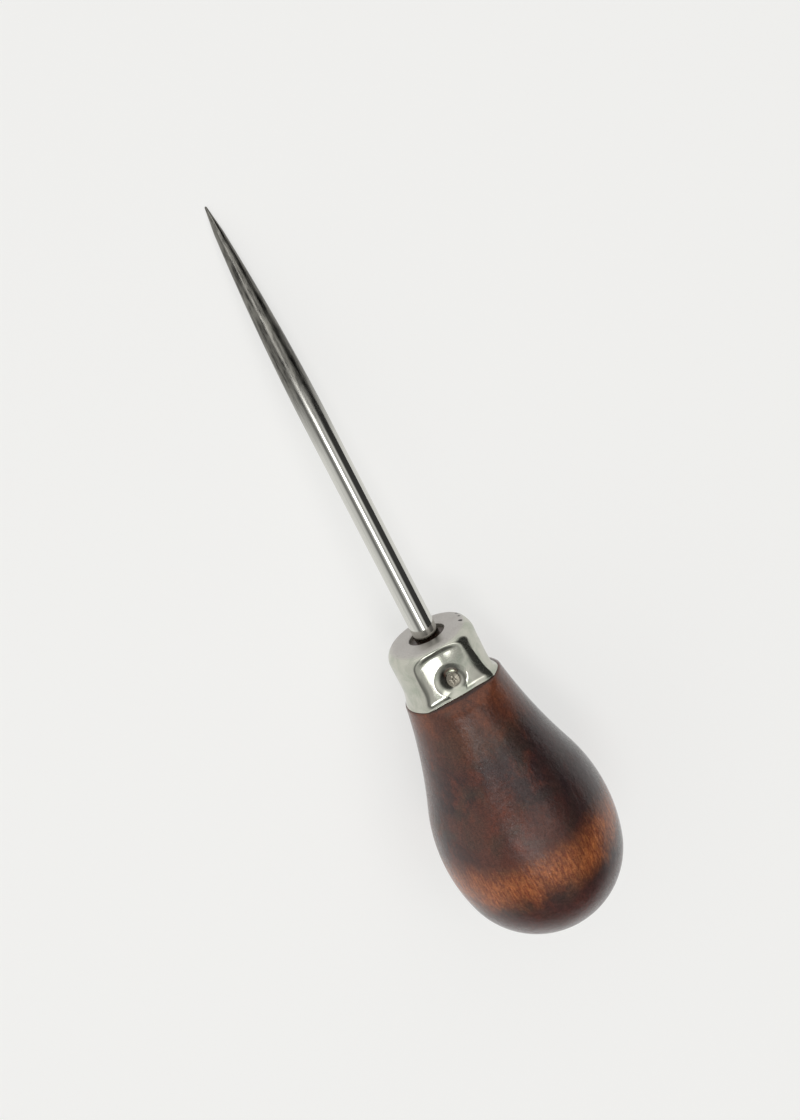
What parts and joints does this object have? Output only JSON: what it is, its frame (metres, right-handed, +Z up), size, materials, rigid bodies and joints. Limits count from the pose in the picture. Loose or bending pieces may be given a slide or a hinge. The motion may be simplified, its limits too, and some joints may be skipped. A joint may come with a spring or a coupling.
{
  "type": "bradawl",
  "caption": "Bradawl with a round tapering steel spike, a staked drawn ferrule and a pear-shaped turned wooden handle, for starting holes by hand.",
  "frame": {"origin": "centre of the bounding box's underside, on the bench that the tool lies on", "axes": "+X towards the point, along the tool as it lies; +Z up from the bench; the tool's own axis lies in the XZ plane and dips towards the point by 7.28 degrees"},
  "size_m": [0.1548, 0.0342, 0.0345],
  "materials": {
    "stained_wood": "dark reddish-brown stain under worn satin lacquer, mottled, with a lighter band round the bulb",
    "nickel_plate": "bright nickel plate on drawn sheet, slightly warm, with fine handling marks",
    "ground_steel": "polished shank, duller ground and scratched taper"
  },
  "bodies": {
    "root": {"handle": "stained_wood", "ferrule": "nickel_plate", "blade": "ground_steel"}
  },
  "joints": []
}
